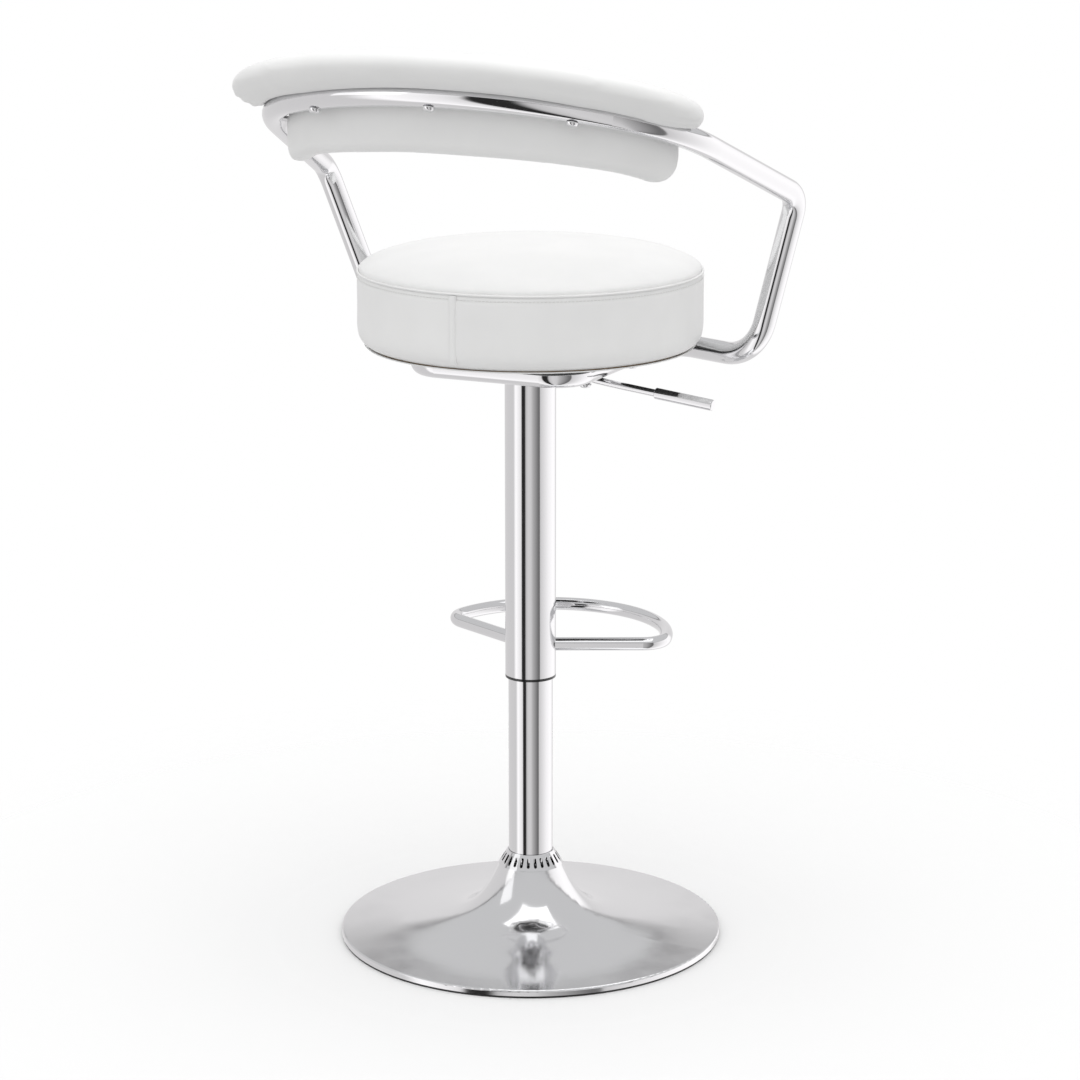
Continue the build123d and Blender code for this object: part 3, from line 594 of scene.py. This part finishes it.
def make_bolster():
    """The padded roll over the rail: swollen flat, gathered at its ends, then bent to the rail."""
    turns = 96
    middle = np.linspace(-1, 1, 150) * (BOLSTER_HALF - 40)
    ends = BOLSTER_HALF - 40 * (1 - np.sin(np.linspace(0.04, math.pi / 2 - 0.03, 16)))
    stations = np.concatenate([-ends[::-1], middle, ends])
    flat = np.array([p for s in stations for p in bolster_section(s, turns, 1.4)])
    flat = groove(flat, TUBE_R + 1.0)
    faces = grid_faces(len(stations), turns, True)
    faces.append(tuple(reversed(range(turns))))
    faces.append(tuple((len(stations) - 1) * turns + k for k in range(turns)))
    bolster = add_mesh("back_bolster", flat * MM, [f[::-1] for f in faces], VINYL)
    swell(bolster, 4.5, 2.2)
    flat, nrm = points_of(bolster) / MM, normals_of(bolster)
    for i, (s, across, up) in enumerate(flat):
        near = min(1.0, max(0.0, (abs(s) - BOLSTER_HALF + 58) / 40))
        under = min(1.0, max(0.0, (BOLSTER_MID - 2 - up) / 12))
        if near * under > 0:
            wave = math.sin(across * 0.62 + 1.7 * noise.noise(Vector((s, across, 0)) * 0.03))
            tip = min(1.0, max(0.0, (BOLSTER_HALF - abs(s)) / 22))
            flat[i] += nrm[i] * wave * near * under * tip * 0.7
        bend = math.exp(-(((abs(s) - 255) / 45) ** 2)) * min(1.0, max(0.0, (8 - across) / 25))
        crease = noise.noise(Vector((s * 0.09, across * 0.02, up * 0.03)))
        flat[i] += nrm[i] * crease * bend * 0.9
        flat[i] += nrm[i] * noise.noise(Vector((s * 0.012, across * 0.03, up * 0.03))) * 0.5
    set_points(bolster, bend_in_plane(groove(flat, TUBE_R + 0.7)))
    return bolster


# ---- back pad ----
PAD_HALF = 288.0
PAD_OUT, PAD_IN = 13.2, 43.5
PAD_TOP = 2.0
PAD_DROP, PAD_DROP_END = 65.0, 59.0
PAD_CORNER = 50.0


def pad_foot(s):
    """How far the pad's lower edge hangs below the rail at a length from the rear centre."""
    drop = ease(min(1.0, abs(s) / 240) ** 1.6, PAD_DROP, PAD_DROP_END)
    past = abs(s) - (PAD_HALF - PAD_CORNER)
    if past > 0:
        drop -= PAD_CORNER - math.sqrt(max(0.0, PAD_CORNER**2 - past**2))
    return drop


def make_pad():
    """The upright curved pad inside the rail: a swollen flat pillow bent to the rail's plan."""
    rows, columns = 240, 44
    layers = []
    for sign in (1, -1):
        for k in range(rows):
            s = PAD_HALF * math.sin(math.pi / 2 * (2 * k / (rows - 1) - 1)) * 0.997
            foot, head = -pad_foot(s), PAD_TOP
            for j in range(columns):
                e = math.sin(math.pi / 2 * (2 * j / (columns - 1) - 1))
                up = (foot + head) / 2 + e * (head - foot) / 2
                rim = (1 - abs(e) ** 7) * (1 - abs(s / PAD_HALF) ** 26)
                thick = (PAD_IN - PAD_OUT) / 2 - 1.2
                across = (PAD_IN + PAD_OUT) / 2 + sign * thick * max(0.0, rim) ** 0.42
                layers.append((s, across, up))
    count = rows * columns
    one = grid_faces(rows, columns, False)
    faces = one + [tuple(count + k for k in reversed(f)) for f in one]
    rim = [k * columns for k in range(rows)]
    rim += [(rows - 1) * columns + j for j in range(1, columns)]
    rim += [k * columns + columns - 1 for k in reversed(range(rows - 1))]
    rim += [j for j in reversed(range(1, columns - 1))]
    for a, b in zip(rim, rim[1:] + rim[:1]):
        faces.append((b, a, count + a, count + b))
    flat = np.array(layers)
    pad = add_mesh("back_pad", flat * MM, faces, VINYL)
    swell(pad, 4.5, 2.0)
    flat, nrm = points_of(pad) / MM, normals_of(pad)
    for i, (s, across, up) in enumerate(flat):
        low = noise.noise(Vector((s * 0.012, across * 0.03, up * 0.02)))
        flat[i] += nrm[i] * low * 0.6
        turn = math.exp(-(((abs(s) - 250) / 40) ** 2)) * (across > 30)
        flat[i] += nrm[i] * noise.noise(Vector((s * 0.11, up * 0.02, 3.0))) * turn * 0.7
    flat[:, 1] = np.maximum(flat[:, 1], PAD_OUT - 0.2)
    set_points(pad, bend_upright(flat))
    return pad


# ---- studio ----
EYE = Vector((1.542, -3.234, 1.329))
LOOK_DOWN = math.radians(13.63)
LOOK_ASIDE = math.radians(0.17)
FACING_CAMERA = math.radians(64.5)


def make_world():
    """White studio seen by the camera; panels, a dark card and grey walls seen by the chrome."""
    world = bpy.data.worlds.new("studio")
    bpy.context.scene.world = world
    world.use_nodes = True
    tree = world.node_tree
    tree.nodes.clear()
    new, join = tree.nodes.new, tree.links.new
    place = new("ShaderNodeTexCoord")
    turn = new("ShaderNodeMapping")
    turn.inputs["Rotation"].default_value = (0, 0, FACING_CAMERA)
    join(place.outputs["Generated"], turn.inputs["Vector"])
    split = new("ShaderNodeSeparateXYZ")
    join(turn.outputs["Vector"], split.inputs["Vector"])
    angle = new("ShaderNodeMath")
    angle.operation = "ARCTAN2"
    join(split.outputs["Y"], angle.inputs[0])
    join(split.outputs["X"], angle.inputs[1])
    share = new("ShaderNodeMapRange")
    share.inputs["From Min"].default_value = -math.pi
    share.inputs["From Max"].default_value = math.pi
    join(angle.outputs[0], share.inputs["Value"])
    ramp = new("ShaderNodeValToRGB")
    join(share.outputs["Result"], ramp.inputs["Fac"])
    stops = ((-180, 0.66), (-150, 0.6), (-82, 0.58), (-70, 1.0), (-50, 0.82), (-42, 0.7),
             (-39, 0.02), (-25, 0.02), (-20, 0.5), (-10, 0.62), (2, 0.58), (12, 0.4),
             (36, 0.15), (42, 0.14), (45, 0.57), (56, 0.66), (90, 0.9), (118, 1.0),
             (140, 0.95), (152, 0.62), (180, 0.66))
    bar = ramp.color_ramp
    while len(bar.elements) < len(stops):
        bar.elements.new(0.5)
    for element, (degrees, _) in zip(bar.elements, stops):
        element.position = (degrees + 180) / 360
    for element, (_, level) in zip(bar.elements, stops):
        element.color = (level, level * 0.985, level * 0.99, 1)
    above = new("ShaderNodeMapRange")
    above.interpolation_type = "SMOOTHSTEP"
    above.inputs["From Min"].default_value = 0.39
    above.inputs["From Max"].default_value = 0.41
    join(split.outputs["Z"], above.inputs["Value"])
    mix = new("ShaderNodeMix")
    mix.data_type = "RGBA"
    join(above.outputs["Result"], mix.inputs["Factor"])
    cornice = new("ShaderNodeMapRange")
    cornice.inputs["From Min"].default_value = 0.34
    cornice.inputs["From Max"].default_value = 0.39
    cornice.inputs["To Min"].default_value = 1
    cornice.inputs["To Max"].default_value = 0.3
    join(split.outputs["Z"], cornice.inputs["Value"])
    shade = new("ShaderNodeVectorMath")
    shade.operation = "SCALE"
    join(ramp.outputs["Color"], shade.inputs["Vector"])
    join(cornice.outputs["Result"], shade.inputs["Scale"])
    join(shade.outputs["Vector"], mix.inputs[6])
    mix.inputs[7].default_value = (0.52, 0.52, 0.525, 1)
    walls = new("ShaderNodeBackground")
    join(mix.outputs[2], walls.inputs["Color"])
    walls.inputs["Strength"].default_value = 1.27
    soft = new("ShaderNodeMapRange")
    soft.inputs["From Min"].default_value = -1
    soft.inputs["To Min"].default_value = 0.6
    soft.inputs["To Max"].default_value = 1.3
    join(split.outputs["Z"], soft.inputs["Value"])
    fill = new("ShaderNodeBackground")
    join(soft.outputs["Result"], fill.inputs["Strength"])
    white = new("ShaderNodeBackground")
    white.inputs["Color"].default_value = (1, 1, 1, 1)
    path = new("ShaderNodeLightPath")
    mirrored = new("ShaderNodeMixShader")
    join(path.outputs["Is Glossy Ray"], mirrored.inputs["Fac"])
    join(fill.outputs["Background"], mirrored.inputs[1])
    join(walls.outputs["Background"], mirrored.inputs[2])
    pick = new("ShaderNodeMixShader")
    join(path.outputs["Is Camera Ray"], pick.inputs["Fac"])
    join(mirrored.outputs["Shader"], pick.inputs[1])
    join(white.outputs["Background"], pick.inputs[2])
    out = new("ShaderNodeOutputWorld")
    join(pick.outputs["Shader"], out.inputs["Surface"])


def make_floor():
    """A pale round floor that fades out into the white studio."""
    turns = 96
    points = [(0, 0, 0)]
    faces = []
    for ring, radius in enumerate((0.3, 0.6, 1.1)):
        for k in range(turns):
            a = 2 * math.pi * k / turns
            points.append((radius * math.cos(a), radius * math.sin(a), 0))
        for k in range(turns):
            nxt = (k + 1) % turns
            here = 1 + ring * turns
            if ring:
                faces.append((here - turns + k, here + k, here + nxt, here - turns + nxt))
            else:
                faces.append((0, here + k, here + nxt))
    mat, shader = shader_of("floor", (0.93, 0.93, 0.93), 0.75)
    speck = texture(mat, "TexNoise", 500, Detail=3)
    bump(mat, shader, speck.outputs["Fac"], 0.05, 0.1)
    place = node(mat, "TexCoord")
    reach = node(mat, "VectorMath", operation="LENGTH")
    link(mat, place.outputs["Object"], reach.inputs[0])
    fade = node(mat, "MapRange", From_Min=0.3, From_Max=0.95)
    link(mat, reach.outputs["Value"], fade.inputs["Value"])
    clear = node(mat, "BsdfTransparent")
    pick = node(mat, "MixShader")
    path = node(mat, "LightPath")
    gone = node(mat, "Math", operation="MAXIMUM")
    link(mat, fade.outputs["Result"], gone.inputs[0])
    link(mat, path.outputs["Is Glossy Ray"], gone.inputs[1])
    link(mat, gone.outputs["Value"], pick.inputs["Fac"])
    link(mat, shader.outputs["BSDF"], pick.inputs[1])
    link(mat, clear.outputs["BSDF"], pick.inputs[2])
    out = mat.node_tree.nodes["Material Output"]
    link(mat, pick.outputs["Shader"], out.inputs["Surface"])
    return add_mesh("floor", points, faces, mat)


def add_light(name, place, aim, width, power):
    data = bpy.data.lights.new(name, "AREA")
    data.shape = "SQUARE"
    data.size = width
    data.energy = power
    lamp = bpy.data.objects.new(name, data)
    bpy.context.scene.collection.objects.link(lamp)
    lamp.location = place
    lamp.rotation_euler = (Vector(aim) - Vector(place)).to_track_quat("-Z", "Y").to_euler()


def make_camera():
    data = bpy.data.cameras.new("camera")
    data.sensor_width = 36
    data.lens = 110
    data.clip_end = 100
    camera = bpy.data.objects.new("camera", data)
    bpy.context.scene.collection.objects.link(camera)
    camera.location = EYE
    heading = math.atan2(EYE.x, -EYE.y)
    camera.rotation_euler = (math.pi / 2 - LOOK_DOWN, 0, heading - LOOK_ASIDE)
    bpy.context.scene.camera = camera


# ---- build ----
bpy.context.scene.view_settings.view_transform = "Standard"
make_world()
make_camera()
make_floor()
add_light("top_softbox", (0.3, -0.4, 2.7), (0, 0, 0.6), 2.4, 15)
add_light("left_softbox", (-2.4, -2.2, 1.8), (0, 0, 0.7), 1.6, 4)
dress_frame()

seat = make_seat()
bolster = make_bolster()
pad = make_pad()
welt = make_ring("seat_welt", SEAT_R - 1.2 * MM, SEAM_Z, 1.3, VINYL)
side_seam = make_side_seam()
stitches = make_seat_stitches()
underwrap = make_underwrap()
for piece in (seat, bolster, pad, welt, side_seam, stitches, underwrap):
    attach(piece, "seat_unit")
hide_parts("seat_cover", "seat_foam")
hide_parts("bolster_cover", "bolster_foam")
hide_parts("pad_cover", "pad_foam")
